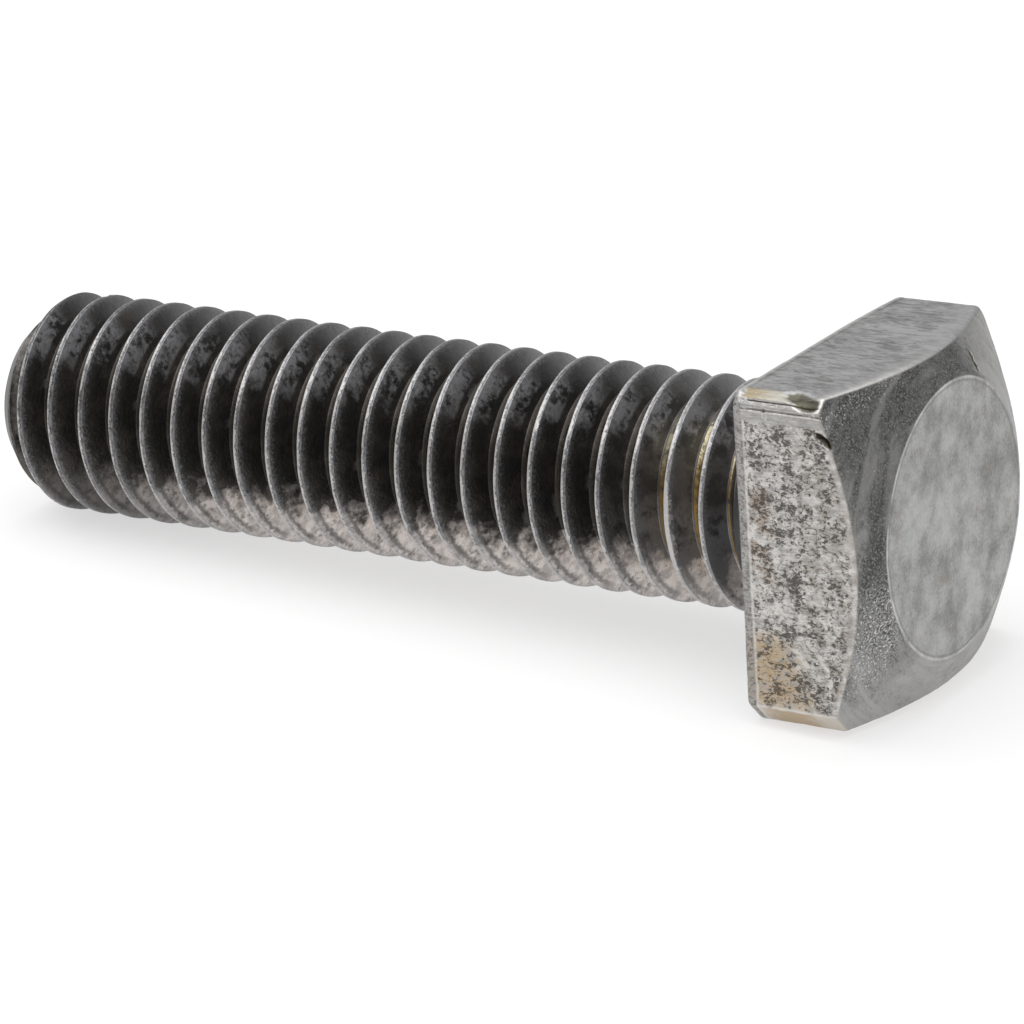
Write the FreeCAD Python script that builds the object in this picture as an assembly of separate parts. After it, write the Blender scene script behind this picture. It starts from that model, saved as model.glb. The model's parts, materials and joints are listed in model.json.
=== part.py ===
# Square head bolt, 3/8-16 UNC x 1 1/2 in, plain steel, threaded up to the head.
# It lies on a flat surface on one edge of its head and the thread near its tip.
# +X runs from the tip to the crown, +Z is up, and the origin is the centre of
# the bearing face under the head. Millimetres and degrees.
import FreeCAD, Part
import math
import os

Vector = FreeCAD.Vector
ORIGIN = Vector(0, 0, 0)
AXIS = Vector(1, 0, 0)

# Thread, right-handed
thread_major = 9.40
thread_pitch = 1.5875
thread_depth = 0.595 * thread_pitch
crest_width = thread_pitch / 8
flank_angle = 30.0
clocking = 28.6         # where the groove ends, turned about the axis from +Y
runout_turns = 0.5      # the last stretch of groove, which climbs out of the shank

# Shank, from the bearing face to the tip
shank_length = 38.1
point_radius = 3.3
point_length = 1.5
shoulder = 0.05         # plain shank between the groove and the fillet
underhead_fillet = 0.4

# Head
across_flats = 13.8
head_height = 5.9
crown_radius = 5.65
crown_slope = 28.0
corner_trim = 0.45      # taken off each flat at the four long corners
bearing_edge = 0.3      # broken edge round the bearing face

shank_radius = thread_major / 2
flank_slope = math.tan(math.radians(flank_angle))

# The cutter's section, which stands a little out of the shank
cutter_rise = 0.05 * thread_pitch
root_radius = shank_radius - thread_depth
rim_radius = shank_radius + cutter_rise
rim_half = (thread_pitch - crest_width) / 2 + cutter_rise * flank_slope
root_half = rim_half - (rim_radius - root_radius) * flank_slope
cutter_section = [(rim_radius, -rim_half), (root_radius, -root_half),
                  (root_radius, root_half), (rim_radius, rim_half)]

# Middle of the groove at its two ends, along the axis
groove_end = -(underhead_fillet + shoulder + rim_half)
groove_start = -(shank_length + rim_half)
groove_turns = (groove_end - groove_start) / thread_pitch
points_per_turn = 16
spare_points = 4


def groove_point(turn, radius, offset):
    """A point of the cutter, turn being counted back from the groove's end."""
    climb = max(0.0, 1 - turn / runout_turns) ** 2
    reach = radius + climb * (rim_radius - root_radius)
    angle = math.radians(clocking) - 2 * math.pi * turn
    x = groove_end - turn * thread_pitch + offset
    return Vector(x, reach * math.cos(angle), reach * math.sin(angle))


def groove_curve(first, last, corner):
    """Drawn a little past both ends, where a spline wavers, and cut back."""
    steps = max(4, math.ceil((last - first) * points_per_turn))
    step = (last - first) / steps
    turns = [first + step * i for i in range(-spare_points, steps + spare_points + 1)]
    curve = Part.BSplineCurve()
    curve.interpolate(Points=[groove_point(turn, *corner) for turn in turns],
                      Parameters=turns)
    curve.segment(first, last)
    return curve


def groove_strip(first, last, corner, next_corner):
    """One side of the cutter. Its weights go with 1 / radius, which keeps
    the straight lines across a strip evenly spaced when it is meshed."""
    near = groove_curve(first, last, corner)
    far = groove_curve(first, last, next_corner)
    weights = [[1.0, corner[0] / next_corner[0]]] * near.NbPoles
    strip = Part.BSplineSurface()
    strip.buildFromPolesMultsKnots(
        [list(pair) for pair in zip(near.getPoles(), far.getPoles())],
        near.getMultiplicities(), [2, 2], near.getKnots(), [0.0, 1.0],
        False, False, near.Degree, 1, weights)
    return strip.toShape()


def section_face(turn):
    points = [groove_point(turn, *corner) for corner in cutter_section]
    return Part.Face(Part.makePolygon(points + points[:1]))


def thread_cutter():
    """The groove as a solid, one set of strips for each turn."""
    stops = [0.0, runout_turns]
    while stops[-1] < groove_turns:
        stops.append(stops[-1] + 1)
    faces = [section_face(stops[0]), section_face(stops[-1])]
    next_corners = cutter_section[1:] + cutter_section[:1]
    for first, last in zip(stops, stops[1:]):
        for corner, next_corner in zip(cutter_section, next_corners):
            faces.append(groove_strip(first, last, corner, next_corner))
    shell = Part.Shell(faces)
    shell.sewShape()
    solid = Part.Solid(shell)
    if solid.Volume < 0:
        solid.reverse()
    return solid


def turned(edges):
    """The solid made by turning a closed outline about the bolt's axis."""
    return Part.Face(Part.Wire(edges)).revolve(ORIGIN, AXIS, 360)


def lines(points):
    return [Part.makeLine(Vector(*a), Vector(*b)) for a, b in zip(points, points[1:])]


def shank_blank():
    """Plain shank with its chamfered point, and the fillet that meets the head."""
    neck = shank_radius + underhead_fillet
    bend = underhead_fillet * (1 - math.sqrt(0.5))
    profile = lines([(0, 0, 0), (-shank_length, 0, 0),
                     (-shank_length, 0, point_radius),
                     (point_length - shank_length, 0, shank_radius),
                     (-underhead_fillet, 0, shank_radius)])
    fillet = Part.Arc(Vector(-underhead_fillet, 0, shank_radius),
                      Vector(-bend, 0, shank_radius + bend),
                      Vector(0, 0, neck))
    profile.append(fillet.toBSpline().toShape())
    profile += lines([(0, 0, neck), (0, 0, 0)])
    return turned(profile)


def square_bar():
    """The head before its crown is turned: a bar with trimmed long corners."""
    half = across_flats / 2
    flat = half - corner_trim
    corners = [(-flat, -half), (flat, -half), (half, -flat), (half, flat),
               (flat, half), (-flat, half), (-half, flat), (-half, -flat)]
    points = [Vector(0, y, z) for y, z in corners]
    bar = Part.Face(Part.makePolygon(points + points[:1])).extrude(AXIS * head_height)
    rim = [edge for edge in bar.Edges if edge.BoundBox.XMax < bearing_edge]
    return bar.makeChamfer(bearing_edge, rim)


def crown_cone():
    """What the crown is turned to: a flat disc and the cone that falls from it."""
    reach = across_flats
    drop = (reach - crown_radius) * math.tan(math.radians(crown_slope))
    start = min(0, head_height - drop) - 1
    points = [(start, 0, 0), (head_height, 0, 0), (head_height, 0, crown_radius),
              (head_height - drop, 0, reach), (start, 0, reach), (start, 0, 0)]
    return turned(lines(points))


def resting_tilt():
    """The slope at which the head's edge and the last full thread both touch."""
    crest_turn = (clocking + 90) / 360 + 0.5
    crest = groove_end - crest_turn * thread_pitch
    spare = crest - point_length + shank_length - crest_width
    reach = crest - math.floor(spare / thread_pitch) * thread_pitch
    run = bearing_edge - reach + crest_width / 2
    return math.degrees(math.atan2(across_flats / 2 - shank_radius, run))


def square_head_bolt():
    head = square_bar().common(crown_cone())
    shank = shank_blank().cut(thread_cutter())
    bolt = head.fuse(shank).removeSplitter().Solids[0]
    bolt.rotate(ORIGIN, Vector(0, 1, 0), -resting_tilt())
    return bolt


os.makedirs("parts", exist_ok=True)
bolt = square_head_bolt()
bolt.exportStep("parts/square_head_bolt.step")
print("volume", round(bolt.Volume, 1), "faces", len(bolt.Faces), "valid", bolt.isValid())
print("tilt", round(resting_tilt(), 3), "box", bolt.BoundBox)
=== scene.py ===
import json
import math

import bmesh
import bpy
from mathutils import Matrix, Vector, noise


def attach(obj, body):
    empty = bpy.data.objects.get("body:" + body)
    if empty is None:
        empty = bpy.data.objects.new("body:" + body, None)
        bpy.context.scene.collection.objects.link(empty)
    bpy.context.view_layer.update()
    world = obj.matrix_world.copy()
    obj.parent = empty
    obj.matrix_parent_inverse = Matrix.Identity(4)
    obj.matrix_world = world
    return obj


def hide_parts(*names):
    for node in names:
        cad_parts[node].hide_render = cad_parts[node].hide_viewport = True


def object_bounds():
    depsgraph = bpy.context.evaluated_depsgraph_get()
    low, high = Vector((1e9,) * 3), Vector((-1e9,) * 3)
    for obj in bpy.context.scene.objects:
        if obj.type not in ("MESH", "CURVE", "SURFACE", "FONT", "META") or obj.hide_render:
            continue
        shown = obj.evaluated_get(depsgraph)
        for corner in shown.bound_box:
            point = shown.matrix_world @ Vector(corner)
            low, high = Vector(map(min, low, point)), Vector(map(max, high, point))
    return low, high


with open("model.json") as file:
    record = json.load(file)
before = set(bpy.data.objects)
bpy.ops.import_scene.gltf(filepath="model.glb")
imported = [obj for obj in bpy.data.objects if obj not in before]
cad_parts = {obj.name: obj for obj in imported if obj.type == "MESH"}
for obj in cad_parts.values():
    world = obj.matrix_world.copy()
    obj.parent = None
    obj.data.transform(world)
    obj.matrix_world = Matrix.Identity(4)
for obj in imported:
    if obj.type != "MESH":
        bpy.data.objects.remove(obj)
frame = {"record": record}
cadLow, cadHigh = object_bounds()
mm = 0.001
print("frame loaded")


class Wire:  # a node's output that can be used in sums
    def __init__(self, loom, socket):
        self.loom = loom
        self.socket = socket

    def other(self, name):
        return Wire(self.loom, self.socket.node.outputs[name])

    def __add__(self, value):
        return self.loom.maths("ADD", self, value)

    def __radd__(self, value):
        return self.loom.maths("ADD", value, self)

    def __sub__(self, value):
        return self.loom.maths("SUBTRACT", self, value)

    def __rsub__(self, value):
        return self.loom.maths("SUBTRACT", value, self)

    def __mul__(self, value):
        return self.loom.maths("MULTIPLY", self, value)

    def __rmul__(self, value):
        return self.loom.maths("MULTIPLY", value, self)

    def __truediv__(self, value):
        return self.loom.maths("DIVIDE", self, value)

    def __rtruediv__(self, value):
        return self.loom.maths("DIVIDE", value, self)

    def __pow__(self, value):
        return self.loom.maths("POWER", self, value)

    def __abs__(self):
        return self.loom.maths("ABSOLUTE", self)


class Loom:  # adds nodes to one tree, for shapes and finishes alike
    def __init__(self, tree):
        self.tree = tree

    def node(self, kind, settings=None, values=None, output=0):
        made = self.tree.nodes.new(kind)
        for name, value in (settings or {}).items():
            setattr(made, name, value)
        for name, value in (values or {}).items():
            if isinstance(value, Wire):
                self.tree.links.new(value.socket, made.inputs[name])
            else:
                made.inputs[name].default_value = value
        return Wire(self, made.outputs[output]) if made.outputs else made

    def maths(self, operation, *values):
        return self.node("ShaderNodeMath", {"operation": operation}, dict(enumerate(values)))

    def least(self, value, limit, softness=0.0):
        return self.maths("SMOOTH_MIN", value, limit, softness)

    def most(self, value, limit, softness=0.0):
        return self.maths("SMOOTH_MAX", value, limit, softness)

    def step(self, value, low, high):  # 0 below low, 1 above high
        return self.node("ShaderNodeMapRange", {"interpolation_type": "SMOOTHSTEP"},
                         {"Value": value, "From Min": low, "From Max": high})

    def between(self, value, low, high, soft):  # 1 between low and high
        return self.step(value, low - soft, low + soft) * self.step(value, high + soft, high - soft)

    def stretch(self, value, start, width, height):  # climbs from 0 to height over this width
        return self.least(self.most((value - start) / width, 0.0), 1.0) * height

    def mix(self, share, first, second):  # colours
        return self.node("ShaderNodeMix", {"data_type": "RGBA"}, {0: share, 6: first, 7: second}, 2)

    def vector(self, x, y, z):
        return self.node("ShaderNodeCombineXYZ", None, {"X": x, "Y": y, "Z": z})

    def noise(self, place, scale, detail=2.0, roughness=0.5, distortion=0.0):
        return self.node("ShaderNodeTexNoise", None, {
            "Vector": place, "Scale": scale, "Detail": detail,
            "Roughness": roughness, "Distortion": distortion})

    def scaled(self, place, sizes):  # a place stretched for a streaked pattern
        return self.node("ShaderNodeVectorMath", {"operation": "MULTIPLY"}, {0: place, 1: sizes})

    def attribute(self, name):
        return self.node("ShaderNodeAttribute", {"attribute_name": name}, None, "Fac")


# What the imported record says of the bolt
mounts = {mount["name"]: mount for mount in frame["record"]["mounts"]}


def distanceTo(name):  # from the origin to a mount
    return Vector(mounts[name]["pos_m"]).length / mm


boltAxis = Vector(mounts["crown_face"]["axis"])
tilt = math.atan2(boltAxis.z, boltAxis.x)
body = {
    "headHeight": distanceTo("crown_face"),
    "shankLength": distanceTo("tip_face"),
    "halfFlats": abs(mounts["front_wrench_flat"]["pos_m"][1]) / mm,
    "shankRadius": mounts["thread"]["dims"]["r_mm"],
    "filletRadius": 0.4,
    "filletRings": 5,
    "sharpAngle": 40,         # an edge that turns by more than this is drawn sharp
}

thread = {
    "pitch": 1.5875,
    "depth": 0.945,
    "crestShare": 0.125,      # of the pitch
    "flankAngle": 30.0,
    "clocking": 28.6,         # where the groove ends, turned about the axis from +Y
    "grooveEnd": 1.19,        # from the bearing face
    "runoutTurns": 0.5,
    "pointRadius": 3.3,
    "pointLength": 1.5,
    "rootRound": 0.24,
    "crestRound": 0.025,
    "pointRound": 0.25,
    "stepsPerTurn": 120,
    "columns": 20,
    "flankShare": 0.5,        # of the columns lie on the flank, below the crest's corner
    "cornerShare": 0.4,       # of the columns round that corner
    "cornerBand": 0.03,       # half the corner's width, as a share of half the pitch
    "spareTurns": 1.3,        # drawn past each end, and cut off again
    "crestWear": 0.05,        # how deep the nicks in the crests go
    "nickScale": 1.6,
    "ripple": 0.035,          # how far the thread wanders, outwards and along
    "rippleScale": 0.9,
    "driftScale": 1.1,
    "mergeDistance": 0.002,
    "seed": 4.0,
}

socketKinds = {int: "NodeSocketInt", float: "NodeSocketFloat", bpy.types.Material: "NodeSocketMaterial"}


def threadTree(sizes):  # a flat grid that is wound round the axis, with one named input for each size
    tree = bpy.data.node_groups.new("rolledThread", "GeometryNodeTree")
    for name, value in sizes.items():
        tree.interface.new_socket(name, in_out="INPUT", socket_type=socketKinds[type(value)])
    tree.interface.new_socket("Geometry", in_out="OUTPUT", socket_type="NodeSocketGeometry")
    loom = Loom(tree)
    given = loom.node("NodeGroupInput").other
    pitch = given("Pitch")
    crest = given("Crest Radius")
    grid = loom.node("GeometryNodeMeshGrid", None, {
        "Size X": 1.0, "Size Y": 1.0, "Vertices X": given("Steps") + 1, "Vertices Y": given("Columns") + 1})
    place = loom.node("ShaderNodeSeparateXYZ", None, {0: loom.node("GeometryNodeInputPosition")})
    turn = (place.other("X") + 0.5) * given("Turns") - given("Spare Turns")
    side = loom.maths("SIGN", place.other("Y"))
    half = abs(place.other("Y")) * 2
    corner = 1 - given("Crest Share")
    # the columns are crowded at the crest's corners
    spread = (loom.stretch(half, 0.0, given("Flank Share"), corner - given("Corner Band"))
              + loom.stretch(half, given("Flank Share"), given("Corner Share"), 2 * given("Corner Band"))
              + loom.stretch(half, given("Flank Share") + given("Corner Share"),
                             1 - given("Flank Share") - given("Corner Share"),
                             given("Crest Share") - given("Corner Band")))
    across = side * spread / 2
    angle = given("Clocking") - turn * math.tau
    along = (across - turn) * pitch - given("Groove End")
    climb = loom.most(1 - turn / given("Runout Turns"), 0.0) ** 2
    root = given("Root Radius") + climb * (crest - given("Root Radius"))
    flank = root + (abs(across) * pitch - given("Root Half")) / given("Flank Slope")
    radius = loom.most(root, flank, given("Root Round"))
    radius = loom.least(radius, crest, given("Crest Round"))
    cone = given("Point Radius") + (along + given("Length")) * given("Point Slope")
    radius = loom.least(radius, cone, given("Point Round"))
    high = loom.stretch(radius, given("Root Radius"), crest - given("Root Radius"), 1.0)
    spot = loom.vector(along, radius * loom.maths("COSINE", angle), radius * loom.maths("SINE", angle))

    def rough(scale, detail, shift):
        return loom.node("ShaderNodeTexNoise", {"noise_dimensions": "4D"}, {
            "Vector": spot, "W": given("Seed") + shift, "Scale": scale, "Detail": detail})

    nick = loom.step(rough(given("Nick Scale"), 3.0, 7.0), 0.62, 0.78) * high ** 12
    radius = radius - given("Ripple") * rough(given("Ripple Scale"), 2.0, 0.0) - given("Crest Wear") * nick
    along = along + given("Ripple") * (rough(given("Drift Scale"), 1.0, 3.0) - 0.5)
    spot = loom.vector(along, radius * loom.maths("COSINE", angle), radius * loom.maths("SINE", angle))
    lean = loom.maths("SINE", across * math.tau) * -1
    mesh = grid
    for name, value in (("high", high), ("lean", lean)):
        mesh = loom.node("GeometryNodeStoreNamedAttribute", {"data_type": "FLOAT", "domain": "POINT"},
                         {"Geometry": mesh, "Name": name, "Value": value})
    mesh = loom.node("GeometryNodeSetPosition", None, {"Geometry": mesh, "Position": spot})
    mesh = loom.node("GeometryNodeMergeByDistance", None, {
        "Geometry": mesh, "Distance": given("Merge Distance")})
    mesh = loom.node("GeometryNodeRealizeInstances", None, {"Geometry": mesh})
    mesh = loom.node("GeometryNodeSetMaterial", None, {"Geometry": mesh, "Material": given("Material")})
    loom.node("NodeGroupOutput", None, {"Geometry": mesh})
    return tree


def threadMesh(material):
    rootRadius = body["shankRadius"] - thread["depth"]
    slope = math.tan(math.radians(thread["flankAngle"]))
    crestHalf = thread["pitch"] * thread["crestShare"] / 2
    wholeTurns = (body["shankLength"] - thread["grooveEnd"]) / thread["pitch"]
    steps = math.ceil((wholeTurns + 2 * thread["spareTurns"]) * thread["stepsPerTurn"])
    sizes = {
        "Pitch": thread["pitch"],
        "Crest Radius": body["shankRadius"],
        "Root Radius": rootRadius,
        "Flank Slope": slope,
        "Root Half": thread["pitch"] / 2 - crestHalf - thread["depth"] * slope,
        "Turns": steps / thread["stepsPerTurn"],
        "Spare Turns": thread["spareTurns"],
        "Steps": steps,
        "Columns": thread["columns"],
        "Groove End": thread["grooveEnd"],
        "Clocking": math.radians(thread["clocking"]),
        "Runout Turns": thread["runoutTurns"],
        "Point Radius": thread["pointRadius"],
        "Point Slope": (body["shankRadius"] - thread["pointRadius"]) / thread["pointLength"],
        "Length": body["shankLength"],
        "Root Round": thread["rootRound"],
        "Crest Round": thread["crestRound"],
        "Point Round": thread["pointRound"],
        "Crest Wear": thread["crestWear"],
        "Nick Scale": thread["nickScale"],
        "Ripple": thread["ripple"],
        "Ripple Scale": thread["rippleScale"],
        "Drift Scale": thread["driftScale"],
        "Merge Distance": thread["mergeDistance"],
        "Seed": thread["seed"],
        "Crest Share": thread["crestShare"],
        "Flank Share": thread["flankShare"],
        "Corner Share": thread["cornerShare"],
        "Corner Band": thread["cornerBand"],
        "Material": material,
    }
    tree = threadTree(sizes)
    blank = bpy.data.objects.new("threadBlank", bpy.data.meshes.new("threadBlank"))
    bpy.context.scene.collection.objects.link(blank)
    modifier = blank.modifiers.new("thread", "NODES")
    modifier.node_group = tree
    for item in tree.interface.items_tree:
        if item.in_out == "INPUT":
            modifier[item.identifier] = sizes[item.name]
    blank.update_tag()
    graph = bpy.context.evaluated_depsgraph_get()
    mesh = bpy.data.meshes.new_from_object(blank.evaluated_get(graph))
    blank.modifiers.remove(modifier)
    bpy.data.objects.remove(blank)
    print("thread:", len(mesh.polygons), "faces")
    return mesh


def cutEnds(bm):  # leaves the thread between the fillet and the end face
    for along, facing in ((-body["filletRadius"], 1), (-body["shankLength"], -1)):
        parts = bm.verts[:] + bm.edges[:] + bm.faces[:]
        bmesh.ops.bisect_plane(bm, geom=parts, plane_co=(along, 0, 0), plane_no=(facing, 0, 0),
                               clear_outer=True)


def openLoop(bm, along):  # the open edge that lies at this place along the axis
    close = 0.01
    return [edge for edge in bm.edges if edge.is_boundary
            and all(abs(vert.co.x - along) < close for vert in edge.verts)]


def grow(bm, edges, along, radius=None, share=None):  # a further ring, at a radius or a share of its own
    made = bmesh.ops.extrude_edge_only(bm, edges=edges)["geom"]
    for vert in made:
        if isinstance(vert, bmesh.types.BMVert):
            own = math.hypot(vert.co.y, vert.co.z)
            scale = radius / own if radius else share
            vert.co = (along, vert.co.y * scale, vert.co.z * scale)
    return [edge for edge in made if isinstance(edge, bmesh.types.BMEdge)]


endFace = {
    "rings": (0.985, 0.93, 0.8, 0.6, 0.4, 0.2, 0.08),   # shares of the way out from the axis
    "hollow": 0.12,
    "hollowPower": 1.5,       # how late the hollow falls away from the edge
}


def closeTip(bm):
    edges = openLoop(bm, -body["shankLength"])
    last = 1.0
    for share in endFace["rings"]:
        along = -body["shankLength"] + endFace["hollow"] * (1 - share) ** endFace["hollowPower"]
        edges = grow(bm, edges, along, share=share / last)
        last = share
    bmesh.ops.contextual_create(bm, geom=edges)


def growFillet(bm):
    rings = body["filletRings"]
    radius = body["filletRadius"]
    edges = openLoop(bm, -radius)
    for i in range(1, rings + 1):
        bend = math.radians(90 * i / rings)
        edges = grow(bm, edges, radius * (math.sin(bend) - 1),
                     radius=body["shankRadius"] + radius * (1 - math.cos(bend)))
    return edges


head = {
    "crownRadius": 5.65,
    "crownSlope": 28.0,
    "cornerTrims": (0.3, 0.45, 0.85, 0.45),   # off the back top corner, then the front top, and on round
    "bearingEdge": 0.3,
    "bearingRing": 5.8,       # where the bearing face is joined to the fillet
    "edgeSharpness": 300,     # how sharp the long corners are
    "arcRound": 0.22,
    "rimRound": 0.1,
    "crownRise": 0.2,         # how far above the axis the crown sits
    "columnsPerFlat": 80,
    "columnsPerCorner": 14,
    "cornerCrowding": 0.75,   # how far the columns of a flat move to its two corners
    "bearingRows": 8,         # rows of points on each stretch of the section
    "edgeRows": 5,
    "flatRows": 30,
    "arcRows": 6,
    "coneRows": 24,
    "rimRows": 4,
    "crownRows": 22,
}


def outline(angle):  # the head's reach from the axis, this way round it
    half = body["halfFlats"]
    total = 0.0
    for quarter, trim in enumerate(head["cornerTrims"]):
        for turn, away in ((90 * quarter, half), (90 * quarter + 45, (2 * half - trim) / math.sqrt(2))):
            facing = math.cos(angle - math.radians(turn))
            if facing > 0:
                total += (facing / away) ** head["edgeSharpness"]
    return total ** (-1 / head["edgeSharpness"])


def headAngles():  # columns, close together at the corners
    half = body["halfFlats"]
    count = head["columnsPerFlat"]
    crowding = head["cornerCrowding"]
    angles = []
    for quarter in range(4):
        before = half - head["cornerTrims"][quarter - 1]
        after = half - head["cornerTrims"][quarter]
        for i in range(count):
            t = 2 * i / count - 1
            spread = math.sin(t * math.pi / 2) * crowding + t * (1 - crowding)
            angles.append(quarter * math.pi / 2 + math.atan2((after if t > 0 else before) * spread, half))
        low = math.atan2(after, half)
        step = (math.pi / 2 - 2 * low) / head["columnsPerCorner"]
        for i in range(head["columnsPerCorner"]):
            angles.append(quarter * math.pi / 2 + low + step * i)
    return angles


def straightRows(start, end, rows):  # points of a straight stretch, after its first
    return [tuple(a + (b - a) * i / rows for a, b in zip(start, end)) for i in range(1, rows + 1)]


def roundedRows(start, corner, end, rows):  # points of a rounded corner, after its first
    points = []
    for i in range(1, rows + 1):
        t = i / rows
        points.append(tuple((1 - t) ** 2 * a + 2 * t * (1 - t) * b + t * t * c
                            for a, b, c in zip(start, corner, end)))
    return points


def headSection(reach):  # half section, as (along, radius, gap to the arc, gap to the crown's rim)
    height = body["headHeight"]
    crown = head["crownRadius"]
    slope = math.tan(math.radians(head["crownSlope"]))
    fall = math.radians(head["crownSlope"])
    arc = height - (reach - crown) * slope
    edge = head["bearingEdge"]
    soft = head["arcRound"]
    rim = head["rimRound"]
    points = [(0.0, head["bearingRing"])]
    points += straightRows(points[-1], (0.0, reach - edge), head["bearingRows"])
    for i in range(1, head["edgeRows"] + 1):
        turned = math.radians(90 * i / head["edgeRows"])
        points.append((edge * (1 - math.cos(turned)), reach - edge * (1 - math.sin(turned))))
    points += straightRows(points[-1], (arc - soft, reach), head["flatRows"])
    points += roundedRows(points[-1], (arc, reach),
                          (arc + soft * math.sin(fall), reach - soft * math.cos(fall)), head["arcRows"])
    points += straightRows(points[-1], (height - rim * slope, crown + rim), head["coneRows"])
    points += roundedRows(points[-1], (height, crown), (height, crown - rim), head["rimRows"])
    points += straightRows(points[-1], (height, 0.0), head["crownRows"])[:-1]
    return [(x, r, x - arc, r - crown) for x, r in points]


scars = {
    "grooveReach": 0.07,      # half the width of the two grooves along the top front corner
    "grooveDepth": 0.06,
    "grooveGaps": (0.12, 0.6),        # their places, as -y - z
    "grooveAlong": (0.6, 3.7),
    "grooveFade": 0.1,
    "dents": (                # each runs from one point to another, with its half width and its depth
        {"start": (2.6, -6.3, 7.0), "end": (3.35, -6.7, 6.8), "reach": 0.56, "depth": 0.2},
        {"start": (3.8, -6.9, 5.5), "end": (4.75, -6.9, 5.0), "reach": 0.2, "depth": 0.3},
        {"start": (1.3, -6.9, -1.9), "end": (2.6, -6.9, -2.2), "reach": 0.14, "depth": 0.05},
        {"start": (2.7, -6.9, -3.3), "end": (3.4, -6.9, -4.1), "reach": 0.5, "depth": 0.05},
        {"start": (1.46, -6.9, 6.38), "end": (1.44, -6.9, 5.95), "reach": 0.05, "depth": 0.06},
    ),
    "shearFacing": (0, -0.35, 0.937),  # the flat left where the top front corner was sheared off
    "shearAway": 8.6,
    "shearAlong": (0.4, 2.75),
    "backFall": 0.17,         # how far the top falls away towards the back
    "fallStart": 0.5,         # how far behind the axis that begins
    "swell": 0.035,           # how far the faces wander in, all over
    "swellScale": 0.55,
    "pitScale": 2.6,
    "pitDepth": 0.018,
}


def distanceToLine(point, start, end):
    run = end - start
    share = min(1.0, max(0.0, (point - start).dot(run) / run.length_squared))
    return (point - start - run * share).length


def scarDepth(point):  # how far in this point of the head is pushed by grooves and dents
    depth = 0.0
    gap = -point.y - point.z
    low, high = scars["grooveAlong"]
    if point.y < 0 < point.z and low < point.x < high:
        fade = min(1.0, (point.x - low) / scars["grooveFade"], (high - point.x) / scars["grooveFade"])
        for place in scars["grooveGaps"]:
            depth += fade * scars["grooveDepth"] * max(0.0, 1 - ((gap - place) / scars["grooveReach"]) ** 2)
    for dent in scars["dents"]:
        away = distanceToLine(point, Vector(dent["start"]), Vector(dent["end"])) / dent["reach"]
        if away < 1:
            depth += dent["depth"] * (1 - away * away) ** 1.5
    return depth


def shearDepth(point):
    low, high = scars["shearAlong"]
    if low < point.x < high:
        return max(0.0, point.dot(Vector(scars["shearFacing"])) - scars["shearAway"])
    return 0.0


def topFall(point):  # how much lower the top lies towards the back
    half = body["halfFlats"]
    back = min(1.0, max(0.0, point.y - scars["fallStart"]) / (half - scars["fallStart"]))
    up = min(1.0, max(0.0, point.z) / half)
    return scars["backFall"] * back * back * up * up * (3 - 2 * up)


def wearHead(bm, verts, layers):
    tiny = 0.001  # so that nothing is divided by nought
    bm.normal_update()
    moves = []
    for vert in verts:
        depth = scarDepth(vert.co)
        swell = 0.5 + 0.5 * noise.noise(vert.co * scars["swellScale"])
        pit = max(0.0, noise.noise(vert.co * scars["pitScale"]))
        worn = scars["swell"] * swell + scars["pitDepth"] * pit
        moves.append((vert, depth, vert.normal * (depth + shearDepth(vert.co) + worn)))
    for vert, depth, move in moves:
        vert[layers["scar"]] = depth
        beyond = max(0.0, vert[layers["arcGap"]])
        rise = head["crownRise"] * beyond / (beyond + body["headHeight"] - vert.co.x + tiny)
        vert.co -= move
        vert.co.z += rise - topFall(vert.co)


def addHead(bm, slot):
    layers = {name: bm.verts.layers.float.new(name) for name in ("arcGap", "rimGap", "scar")}
    columns = []
    for angle in headAngles():
        column = []
        for x, r, arcGap, rimGap in headSection(outline(angle)):
            vert = bm.verts.new((x, r * math.cos(angle), r * math.sin(angle)))
            vert[layers["arcGap"]] = arcGap
            vert[layers["rimGap"]] = rimGap
            column.append(vert)
        columns.append(column)
    crownCentre = bm.verts.new((body["headHeight"], 0, 0))
    crownCentre[layers["arcGap"]] = body["headHeight"]
    crownCentre[layers["rimGap"]] = -head["crownRadius"]
    made = []
    for here, there in zip(columns, columns[1:] + columns[:1]):
        for i in range(len(here) - 1):
            made.append(bm.faces.new((here[i], there[i], there[i + 1], here[i + 1])))
        made.append(bm.faces.new((here[-1], there[-1], crownCentre)))
    for face in made:
        face.material_index = slot
    bmesh.ops.recalc_face_normals(bm, faces=made)
    wearHead(bm, [vert for column in columns for vert in column[1:]] + [crownCentre], layers)
    return [bm.edges.get((here[0], there[0])) for here, there in zip(columns, columns[1:] + columns[:1])]


def around(vert):
    return math.atan2(vert.co.z, vert.co.y)


def zipRings(bm, inner, outer, slot):  # joins two rings about the axis, whatever their numbers
    near = sorted({vert for edge in inner for vert in edge.verts}, key=around)
    far = sorted({vert for edge in outer for vert in edge.verts}, key=around)
    nearAngles = [around(vert) for vert in near]
    farAngles = [around(vert) for vert in far]
    nearAngles.append(nearAngles[0] + math.tau)
    farAngles.append(farAngles[0] + math.tau)
    near.append(near[0])
    far.append(far[0])
    i = 0
    j = 0
    while i < len(near) - 1 or j < len(far) - 1:
        if j == len(far) - 1 or (i < len(near) - 1 and nearAngles[i + 1] < farAngles[j + 1]):
            face = bm.faces.new((near[i], near[i + 1], far[j]))
            i += 1
        else:
            face = bm.faces.new((near[i], far[j + 1], far[j]))
            j += 1
        face.material_index = slot


def paint(red, green, blue):  # a colour as it shows on a screen, for a shader
    return (*(((value / 255 + 0.055) / 1.055) ** 2.4 for value in (red, green, blue)), 1)


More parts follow.
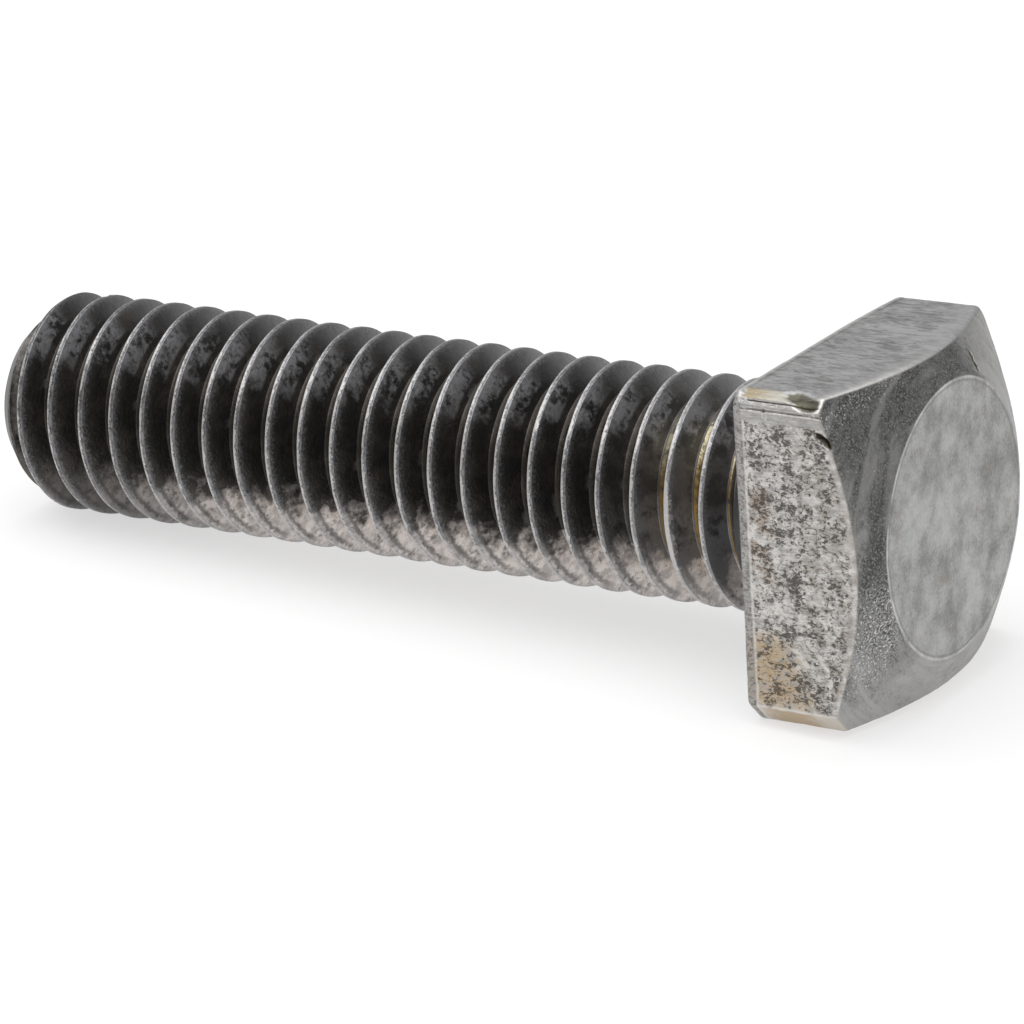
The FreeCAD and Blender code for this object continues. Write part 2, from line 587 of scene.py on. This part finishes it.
def newFinish(name):
    material = bpy.data.materials.new(name)
    material.use_nodes = True
    loom = Loom(material.node_tree)
    shader = material.node_tree.nodes["Principled BSDF"]
    place = loom.node("ShaderNodeMapping", None, {
        "Vector": loom.node("ShaderNodeTexCoord", None, None, "Object"),
        "Rotation": (0, tilt, 0), "Scale": (1 / mm, 1 / mm, 1 / mm)})
    return material, loom, shader, place


def dress(loom, shader, colour, metallic, roughness, relief, depth):
    shade = loom.node("ShaderNodeBump", None, {"Strength": 1.0, "Distance": depth * mm, "Height": relief})
    for name, wire in (("Base Color", colour), ("Metallic", metallic), ("Roughness", roughness),
                       ("Normal", shade)):
        loom.tree.links.new(wire.socket, shader.inputs[name])


threadPaint = {
    "oil": paint(58, 57, 56),
    "film": paint(78, 74, 70),
    "grey": paint(146, 146, 149),
    "bareAndGlint": paint(208, 206, 203),
    "smoke": paint(102, 99, 97),
    "low": paint(230, 222, 217),
    "brown": paint(52, 46, 40),
    "gold": paint(146, 116, 54),
    "cream": paint(206, 196, 160),
}


def threadFinish():
    material, loom, shader, place = newFinish("oiledThread")
    spot = loom.node("ShaderNodeSeparateXYZ", None, {0: place})
    along = spot.other("X")
    turned = loom.maths("ARCTAN2", spot.other("Z"), spot.other("Y") * -1)
    level = loom.maths("SINE", turned)
    high = loom.attribute("high")
    lean = loom.attribute("lean")
    grain = loom.noise(place, 9.0, 3.0, 0.6)
    fleck = loom.noise(place, 4.0, 4.0, 0.65, 0.4)
    blotch = loom.noise(place, 1.1, 4.0, 0.6)
    headSide = loom.step(lean, 0.2, 0.45)
    tipSide = loom.step(lean + high, 0.5, 0.2) * loom.step(high, 0.95, 0.85)
    nearHead = loom.step(along, -9.0, -4.0)
    nearTip = loom.step(along, -25.0, -35.0)
    # dark oil, greyer next to the head, with painted light on the lower half there
    colour = loom.mix(loom.step(blotch, 0.42, 0.68), threadPaint["oil"], threadPaint["film"])
    colour = loom.mix(nearHead * (0.3 + loom.step(blotch, 0.4, 0.6) * 0.6), colour, threadPaint["smoke"])
    lit = nearHead * loom.step(turned, 0.35, 0.0) * loom.step(blotch * 0.6 + fleck * 0.4, 0.38, 0.5)
    colour = loom.mix(lit * 0.45, colour, threadPaint["grey"])
    # a broken painted sheen on the upper flanks, and painted light on the top
    sheen = loom.between(turned + (blotch - 0.5) * 0.6, 0.8, 1.3, 0.14) * headSide
    sheen = sheen * loom.step(high, 0.2, 0.35)
    sheen = sheen * loom.step(blotch * 0.55 + fleck * 0.45, 0.41, 0.56)
    colour = loom.mix(sheen, colour, threadPaint["grey"])
    top = loom.step(turned, 1.3, 2.0) * loom.step(level, 0.05, 0.5)
    colour = loom.mix(top * (0.2 + fleck * 0.7), colour, threadPaint["grey"])
    # floor reflection painted pale underneath, and brown-tinted painted shade on the flanks facing the tip
    edge = loom.step(level + (blotch - 0.5) * 1.1 + (fleck - 0.5) * 0.3, -0.29, -0.61)
    spots = loom.step(fleck * 0.5 + blotch * 0.5, 0.37, 0.47)
    # a painted shadow beside the crests, which breaks the painted reflection below them
    shade = headSide * loom.between(high + (fleck - 0.5) * 0.4, 0.68, 0.86, 0.07)
    shade = shade * loom.step(turned, -1.25, -0.85)
    low = edge * (1 - nearTip * 0.88) * (0.35 + 0.65 * spots) * (1 - shade * 0.7)
    # darker mottle within the painted reflection
    lowMottle = loom.step(loom.noise(place, 1.8, 2.0, 0.5) * 0.85 + grain * 0.15, 0.4, 0.64)
    colour = loom.mix(low, colour, loom.mix(lowMottle * 0.45, threadPaint["low"], threadPaint["smoke"]))
    # painted shade, tinted brown, on the flanks that face the tip
    colour = loom.mix(tipSide * (1 - edge) * 0.8 * loom.step(fleck, 0.2, 0.5), colour, threadPaint["brown"])
    # yellow residue in the last grooves
    lastGroove = loom.step(along, -2.5, -2.3)
    stained = loom.step(lean + high, 0.3, 0.1) * loom.step(high, 0.65, 0.45) * (1 - lastGroove)
    stained = stained + lastGroove * loom.step(high, 0.1, 0.03) * loom.between(lean, 0.0, 0.25, 0.06)
    stained = stained * loom.between(turned + (blotch - 0.5) * 0.8, -0.75, 1.15, 0.15)
    stained = stained * loom.step(along, -5.9, -4.8) * loom.step(fleck * 0.6 + blotch * 0.4, 0.38, 0.52)
    stain = loom.mix(loom.step(turned + fleck, 0.9, 1.4), threadPaint["gold"], threadPaint["cream"])
    colour = loom.mix(stained * 0.9, colour, stain)
    # a painted sheen under the crests, a paler point and a dark neck
    crestSheen = loom.step(high + (grain - 0.5) * 0.7, 0.74, 1.05) * headSide
    colour = loom.mix(crestSheen * 0.5, colour, threadPaint["grey"])
    point = loom.step(along, -36.5, -36.9)
    colour = loom.mix(point * loom.step(fleck, 0.35, 0.65) * 0.8, colour, threadPaint["smoke"])
    neck = loom.step(along, -1.7, -1.45)
    colour = loom.mix(neck * 0.9, colour, threadPaint["oil"])
    # crests worn bare and painted bright as highlights, one of them flattened near the head
    flattened = loom.between(along, -4.9, -4.1, 0.1) * loom.between(turned, -0.45, 0.35, 0.15)
    ragged = lean - flattened * 0.5 + (fleck - 0.5) * 1.3 + (grain - 0.5) * 0.9 + (blotch - 0.5) * 1.1
    worn = loom.step(high + (grain - 0.5) * 0.1 + flattened * 0.15, 0.93, 0.97)
    worn = worn * loom.step(ragged + nearTip * 0.15, 0.12, -0.14) * (1 - neck)
    rest = loom.step(high, 0.95, 0.98) * loom.step(fleck, 0.3, 0.75) * (1 - neck)
    colour = loom.mix(rest, colour, threadPaint["grey"])
    # grain, and painted shade that dims the crest highlights on top
    dimmed = grain * 0.6 + loom.step(level, 0.64, 0.96) * 0.35
    bareAndGlint = loom.mix(dimmed, threadPaint["bareAndGlint"], threadPaint["grey"])
    colour = loom.mix(worn, colour, bareAndGlint)
    radius = loom.maths("SQRT", spot.other("Y") ** 2 + spot.other("Z") ** 2)
    onEnd = loom.step(along, -37.85, -37.95) * loom.step(radius, 3.35, 3.2)
    dull = loom.step(fleck * 0.6 + blotch * 0.4, 0.35, 0.6)
    colour = loom.mix(onEnd, colour, loom.mix(dull, threadPaint["film"], threadPaint["smoke"]))
    roughness = 0.28 + fleck * 0.2 + worn * 0.12
    metallic = 0.9 + worn * 0.1 - nearHead * 0.3
    relief = fleck * 0.6 + grain * 0.4
    dress(loom, shader, colour, metallic, roughness, relief, depth=0.035)
    return material


headPaint = {
    "light": paint(219, 216, 212),
    "dark": paint(76, 71, 67),
    "grey": paint(164, 162, 160),
    "top": paint(182, 182, 182),
    "topDark": paint(120, 120, 119),
    "rust": paint(146, 116, 88),
    "tan": paint(184, 163, 133),
    "cream": paint(206, 198, 188),
    "shorn": paint(156, 145, 122),
    "shornPale": paint(176, 173, 164),
    "olive": paint(78, 74, 54),
    "cone": paint(112, 112, 111),
    "coneDark": paint(70, 70, 70),
    "conePale": paint(174, 173, 171),
    "spark": paint(226, 225, 223),
    "crown": paint(188, 188, 187),
    "crownDark": paint(130, 130, 129),
    "under": paint(120, 116, 110),
    "taupe": paint(150, 138, 126),
}


def flatColour(loom, place, spot, arcGap):  # the speckled front, and the flats like it
    along = spot.other("X")
    up = spot.other("Z")
    speckle = loom.noise(loom.scaled(place, (5.5, 8.5, 8.5)), 1.0, 4.0, 0.7, 0.7)
    clot = loom.noise(loom.scaled(place, (2.2, 2.6, 2.6)), 1.0, 3.0, 0.6, 0.5)
    cluster = loom.noise(loom.scaled(place, (1.0, 0.8, 0.7)), 1.3, 3.0, 0.6)
    tone = loom.noise(place, 2.2, 3.0)
    brush = loom.noise(loom.scaled(place, (1.6, 14.0, 14.0)), 1.0, 3.0)
    inside = loom.step(arcGap + (clot - 0.5) * 0.5, -0.14, -0.34) * loom.step(along, 0.45, 0.65)
    inside = inside * loom.step(up + (clot - 0.5) * 0.8, -5.95, -5.7)
    chains = loom.between(along, 1.1, 1.5, 0.25) + loom.between(along, 2.25, 2.6, 0.2)
    spread = speckle * 0.74 + clot * 0.26 + (cluster - 0.5) * 0.4 + chains * 0.035 + (brush - 0.5) * 0.12
    specks = loom.step(spread, 0.52, 0.59) * inside
    # pale scale with brown, rusty and tan patches
    light = loom.mix(loom.step(tone * 0.6 + brush * 0.4, 0.32, 0.62), headPaint["grey"], headPaint["light"])
    taupe = loom.step(along, 2.2, 3.2) * loom.step(clot, 0.42, 0.6)
    light = loom.mix(taupe * 0.45, light, headPaint["taupe"])
    light = loom.mix(loom.step(spread, 0.44, 0.53) * inside * 0.35, light, headPaint["under"])
    rusty = loom.between(along, 0.5, 1.6, 0.35) * loom.between(up, -1.4, 3.3, 0.5)
    rusty = rusty * loom.step(cluster * 0.5 + clot * 0.5, 0.44, 0.58)
    light = loom.mix(rusty * 0.55, light, headPaint["rust"])
    stained = loom.step(along + (clot - 0.5) * 2.6 + up * 0.35, 1.7, 0.2) * loom.between(up, -5.9, -3.0, 0.5)
    light = loom.mix(stained * loom.step(tone * 0.5 + brush * 0.5, 0.3, 0.6), light, headPaint["tan"])
    # a painted highlight on the lower edge, and the trimmed corner under it
    foot = loom.step(up + (tone - 0.5) * 0.1, -6.0, -6.1)
    edge = loom.between(up + (tone - 0.5) * 0.1, -6.06, -5.94, 0.04)
    light = loom.mix(edge * 0.7, light, headPaint["light"])
    toned = loom.between(along + (clot - 0.5) * 2, 1.0, 2.9, 0.5) * 0.8
    light = loom.mix(foot, light, loom.mix(toned, headPaint["cream"], headPaint["tan"]))
    colour = loom.mix(specks * 0.85, light, headPaint["dark"])
    # the broken edge round the bearing face, and a painted highlight along it
    rim = loom.step(along, 0.52, 0.44)
    colour = loom.mix(rim * 0.75, colour, headPaint["grey"])
    colour = loom.mix(rim * loom.step(speckle, 0.48, 0.58) * 0.6, colour, headPaint["dark"])
    ridgeHighlight = loom.between(along + (tone - 0.5) * 0.1, 0.5, 0.6, 0.04) * loom.step(up + tone, 5.5, 3.5)
    return loom.mix(ridgeHighlight * 0.6, colour, headPaint["light"]), specks


def topColour(loom, place, spot, arcGap):  # brushed along the bolt
    along = spot.other("X")
    back = spot.other("Y")
    streak = loom.noise(loom.scaled(place, (1.5, 5.0, 5.0)), 1.0, 4.0, 0.7, 0.9)
    broad = loom.noise(loom.scaled(place, (0.6, 0.9, 0.9)), 1.0, 3.0, 0.6, 1.0)
    shade = loom.step(streak * 0.6 + broad * 0.4, 0.34, 0.62)
    colour = loom.mix(shade, headPaint["topDark"], headPaint["top"])
    colour = loom.mix(loom.step(arcGap, -1.8, -0.1) * 0.45, colour, headPaint["top"])
    # a painted highlight along the rounded arc
    ridgeHighlight = loom.step(arcGap + (streak - 0.5) * 0.6, -0.5, -0.05) * loom.step(back, 1.5, -5.0)
    colour = loom.mix(ridgeHighlight * 0.7, colour, headPaint["light"])
    # a dark line of painted shade and a painted highlight on the rounded edge by the bearing face
    colour = loom.mix(loom.between(along, 0.42, 0.52, 0.04) * 0.5 * streak, colour, headPaint["dark"])
    return loom.mix(loom.step(along, 0.38, 0.3) * 0.5, colour, headPaint["light"])


def cornerColour(loom, colour, place, spot):  # the sheared bands on the top front corner
    along = spot.other("X")
    gap = spot.other("Y") * -1 - spot.other("Z")
    here = loom.step(along, 0.4, 0.5) * loom.step(spot.other("Z"), 4.0, 5.0)
    grain = loom.noise(loom.scaled(place, (1.0, 8.0, 8.0)), 1.5, 3.0)
    band = loom.between(gap, 0.0, 1.08, 0.04) * loom.step(along, 4.2, 4.0) * here
    colour = loom.mix(band, colour, loom.mix(grain, headPaint["topDark"], headPaint["light"]))
    shorn = loom.between(gap, -0.8, 0.0, 0.03) * loom.step(along - gap, 2.75, 2.65) * here
    gilt = loom.mix(loom.step(along + grain, 1.0, 2.6), headPaint["shorn"], headPaint["shornPale"])
    colour = loom.mix(shorn, colour, gilt)
    # painted shade in the two grooves, and a painted highlight on the lip of the second
    grooveShade = loom.between(gap, 0.07, 0.15, 0.02) + loom.between(gap, 0.56, 0.63, 0.02)
    colour = loom.mix(grooveShade * here * loom.step(along, 4.0, 3.8) * 0.8, colour, headPaint["dark"])
    lipHighlight = loom.between(gap, 0.64, 0.7, 0.02) * here * loom.step(along, 4.1, 3.9)
    return loom.mix(lipHighlight * 0.7, colour, headPaint["light"])


def coneColour(loom, place, spot, rimGap):
    up = spot.other("Z")
    back = spot.other("Y")
    radius = loom.maths("SQRT", up ** 2 + back ** 2)
    wound = loom.vector(rimGap * 1.2, back / radius * 1.6, up / radius * 1.6)
    rings = loom.noise(wound, 1.0, 3.0, 0.65, 0.8)
    mottle = loom.noise(place, 2.4, 4.0, 0.6)
    # painted light below and at the back, painted shade beside the crown at the front
    pale = loom.step(up * -1 + back * 0.5 + (mottle - 0.5) * 1.5, 0.2, 3.6)
    pale = loom.most(pale, loom.step(back * 0.8 + up * 0.2 + (mottle - 0.5) * 1.5, 2.3, 4.0))
    pale = loom.least(pale * 0.85 + loom.step(rings, 0.48, 0.64) * 0.5, 1.0)
    colour = loom.mix(pale, headPaint["cone"], headPaint["conePale"])
    rimShade = loom.between(rimGap + (mottle - 0.5) * 0.5, 0.15, 0.75, 0.2) * loom.step(back, 0.0, -3.0)
    rimShade = rimShade * loom.between(up, -2.2, 3.4, 1.2)
    colour = loom.mix(rimShade * 0.6, colour, headPaint["coneDark"])
    dust = loom.noise(place, 11.0, 2.0, 0.7)
    fine = 1 - pale * 0.7
    dim = loom.step(dust * 0.35 + mottle * 0.3 + rings * 0.35, 0.5, 0.38)
    colour = loom.mix(dim * 0.8 * fine, colour, headPaint["coneDark"])
    colour = loom.mix(loom.step(dust, 0.48, 0.7) * 0.5 * fine, colour, headPaint["conePale"])
    # two scratches above the crown, in colour only: one a painted highlight, one dark
    side = back + (mottle - 0.5) * 0.5 + (up - 5.8) * 0.1
    tall = ((up - 5.8) / 0.5) ** 2
    lipHighlight = loom.step(((side - 2.84) / 0.1) ** 2 + tall, 1.0, 0.4)
    cut = loom.step(((side - 2.7) / 0.12) ** 2 + tall, 1.0, 0.5)
    colour = loom.mix(lipHighlight * 0.6, colour, headPaint["light"])
    colour = loom.mix(cut, colour, headPaint["olive"])
    # dust, and bright sparks painted as glints, thickest low at the front
    lowPatch = loom.step(((back + 5.9) / 1.7) ** 2 + ((up + 2.9) / 3.0) ** 2, 1.2, 0.1)
    dusty = lowPatch + loom.between(up - back * 0.25, 7.3, 8.1, 0.25) * 0.7
    frost = lowPatch * loom.step(dust, 0.4, 0.62)
    colour = loom.mix(frost * 0.5, colour, headPaint["conePale"])
    spark = loom.noise(place, 10.5, 2.0, 0.7)
    sparks = loom.step(spark + loom.least(dusty, 1.0) * 0.14, 0.68, 0.75)
    return loom.mix(sparks * 0.8, colour, headPaint["spark"]), sparks


def crownColour(loom, place, spot, rimGap):
    grain = loom.noise(place, 8.0, 3.0, 0.6)
    broad = loom.noise(place, 0.5, 3.0, 0.65)
    pit = loom.step(loom.noise(place, 3.4, 2.0, 0.6), 0.66, 0.74)
    shade = loom.step(broad * 0.7 + grain * 0.3, 0.3, 0.66)
    colour = loom.mix(shade, headPaint["crownDark"], headPaint["crown"])
    warm = loom.step(loom.noise(place, 1.2, 3.0, 0.6), 0.56, 0.72)
    colour = loom.mix(warm * 0.4, colour, headPaint["taupe"])
    colour = loom.mix(pit * 0.5, colour, headPaint["topDark"])
    # a painted shade line inside the rim, and a painted highlight on the rim
    colour = loom.mix(loom.between(rimGap, -0.22, -0.12, 0.03) * 0.4, colour, headPaint["topDark"])
    rim = loom.between(rimGap + (grain - 0.5) * 0.1, -0.1, 0.04, 0.03)
    return loom.mix(rim * loom.step(broad, 0.3, 0.7) * 0.8, colour, headPaint["light"])


def headFinish():
    material, loom, shader, place = newFinish("scaledHead")
    spot = loom.node("ShaderNodeSeparateXYZ", None, {0: place})
    along = spot.other("X")
    arcGap = loom.attribute("arcGap")
    rimGap = loom.attribute("rimGap")
    scar = loom.attribute("scar")
    grain = loom.noise(place, 7.0, 4.0, 0.65)
    flats, specks = flatColour(loom, place, spot, arcGap)
    onTop = loom.step(spot.other("Z") - abs(spot.other("Y")), -0.1, 0.1)
    colour = loom.mix(onTop, flats, topColour(loom, place, spot, arcGap))
    colour = cornerColour(loom, colour, place, spot)
    cone, sparks = coneColour(loom, place, spot, rimGap)
    onCone = loom.step(arcGap, -0.06, 0.04)
    colour = loom.mix(onCone, colour, cone)
    onCrown = loom.step(rimGap, 0.03, -0.03)
    colour = loom.mix(onCrown, colour, crownColour(loom, place, spot, rimGap))
    # the bearing face; a painted highlight on the dents' lips, and the dents darker the deeper they go
    under = loom.step(along, 0.12, 0.02)
    colour = loom.mix(under, colour, loom.mix(grain, headPaint["dark"], headPaint["under"]))
    lipHighlight = loom.between(scar, 0.004, 0.03, 0.004) * (1 - onCone) * (1 - onTop)
    colour = loom.mix(lipHighlight * 0.5, colour, headPaint["light"])
    colour = loom.mix(loom.step(scar + (grain - 0.5) * 0.12, 0.04, 0.12) * 0.85, colour, headPaint["olive"])
    colour = loom.mix(loom.step(scar, 0.14, 0.24) * 0.75, colour, threadPaint["oil"])
    dull = specks * (1 - onTop) * (1 - onCone)
    roughness = 0.42 + grain * 0.16 + dull * 0.15
    metallic = 0.95 - dull * 0.3
    relief = grain * (0.6 - onCrown * 0.3) - dull * 0.5 + sparks * onCone * 0.6
    dress(loom, shader, colour, metallic, roughness, relief, depth=0.03)
    return material


def makeBolt():
    threadSteel = threadFinish()
    headSteel = headFinish()
    threadSlot, headSlot = 0, 1
    bm = bmesh.new()
    bm.from_mesh(threadMesh(threadSteel))
    for face in bm.faces:
        face.material_index = threadSlot
    cutEnds(bm)
    closeTip(bm)
    neck = growFillet(bm)
    seat = addHead(bm, headSlot)
    zipRings(bm, neck, seat, headSlot)
    bmesh.ops.recalc_face_normals(bm, faces=bm.faces[:])
    openEdges = [edge for edge in bm.edges if not edge.is_manifold]
    print("bolt:", len(bm.faces), "faces,", len(openEdges), "open edges")
    mesh = bpy.data.meshes.new("squareHeadBolt")
    mesh.materials.append(threadSteel)
    mesh.materials.append(headSteel)
    bm.to_mesh(mesh)
    bm.free()
    mesh.transform(Matrix.Rotation(-tilt, 4, "Y") @ Matrix.Scale(mm, 4))
    mesh.shade_smooth()
    mesh.set_sharp_from_angle(angle=math.radians(body["sharpAngle"]))
    bolt = bpy.data.objects.new("squareHeadBolt", mesh)
    bpy.context.scene.collection.objects.link(bolt)
    return bolt


bolt = makeBolt()
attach(bolt, "root")
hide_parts("square_head_bolt")
print("bolt made")

camera = {
    "place": (99.44, -183.23, 81.09),
    "azimuth": 31.74,
    "elevation": 21.22,
    "roll": -0.69,
    "lens": 197.5,
    "shiftX": -0.0138,
    "shiftY": -0.0103,
    "clipStart": 10,
}


def addCamera():
    data = bpy.data.cameras.new("camera")
    data.lens = camera["lens"]
    data.shift_x = camera["shiftX"]
    data.shift_y = camera["shiftY"]
    data.clip_start = camera["clipStart"] * mm
    made = bpy.data.objects.new("camera", data)
    bpy.context.scene.collection.objects.link(made)
    turned = (Matrix.Rotation(math.radians(camera["azimuth"]), 4, "Z")
              @ Matrix.Rotation(math.radians(90 - camera["elevation"]), 4, "X")
              @ Matrix.Rotation(math.radians(camera["roll"]), 4, "Z"))
    made.matrix_world = Matrix.Translation(Vector(camera["place"]) * mm) @ turned
    bpy.context.scene.camera = made


studio = {
    "floorSize": 2000.0,
    "worldLevel": 0.5,
    "floorShade": 0.95,
    "floorRoughness": 0.9,
    "floorGlow": 0.6,
    "lampPlace": (-80, -60, 420),
    "lampTarget": (-15, 0, 0),
    "lampSize": (700, 560),
    "lampWatts": 2.4,
}


def addLamp(name, place, target, size, watts):
    data = bpy.data.lights.new(name, "AREA")
    data.shape = "RECTANGLE"
    data.size = size[0] * mm
    data.size_y = size[1] * mm
    data.energy = watts
    made = bpy.data.objects.new(name, data)
    bpy.context.scene.collection.objects.link(made)
    made.location = Vector(place) * mm
    made.rotation_euler = (Vector(target) - Vector(place)).to_track_quat("-Z", "Y").to_euler()


def glowingFloor(material):  # lifts the floor towards white where it is seen or mirrored
    loom = Loom(material.node_tree)
    ray = loom.node("ShaderNodeLightPath")
    mirrored = loom.most(ray.other("Is Glossy Ray"), ray.other("Is Transmission Ray"))
    seen = loom.most(ray.other("Is Camera Ray"), mirrored)
    glow = loom.node("ShaderNodeEmission", None, {"Color": (1, 1, 1, 1), "Strength": 1.0})
    shader = material.node_tree.nodes["Principled BSDF"]
    mixed = loom.node("ShaderNodeMixShader", None, {
        0: seen * studio["floorGlow"], 1: Wire(loom, shader.outputs["BSDF"]), 2: glow})
    loom.tree.links.new(mixed.socket, material.node_tree.nodes["Material Output"].inputs["Surface"])


def addFloor():
    half = studio["floorSize"] * mm / 2
    height = cadLow[2]
    corners = [(-half, -half), (half, -half), (half, half), (-half, half)]
    mesh = bpy.data.meshes.new("floor")
    mesh.from_pydata([(x, y, height) for x, y in corners], [], [(0, 1, 2, 3)])
    material = bpy.data.materials.new("paleFloor")
    material.use_nodes = True
    shader = material.node_tree.nodes["Principled BSDF"]
    shade = studio["floorShade"]
    shader.inputs["Base Color"].default_value = (shade, shade, shade, 1)
    shader.inputs["Roughness"].default_value = studio["floorRoughness"]
    glowingFloor(material)
    mesh.materials.append(material)
    floor = bpy.data.objects.new("floor", mesh)
    bpy.context.scene.collection.objects.link(floor)


def addStudio():
    addFloor()
    world = bpy.data.worlds.new("world")
    bpy.context.scene.world = world
    world.use_nodes = True
    background = world.node_tree.nodes["Background"]
    background.inputs["Color"].default_value = (1, 1, 1, 1)
    background.inputs["Strength"].default_value = studio["worldLevel"]
    addLamp("softTop", studio["lampPlace"], studio["lampTarget"], studio["lampSize"], studio["lampWatts"])


addCamera()
addStudio()
bpy.context.scene.view_settings.view_transform = "Standard"
print("camera and studio made")
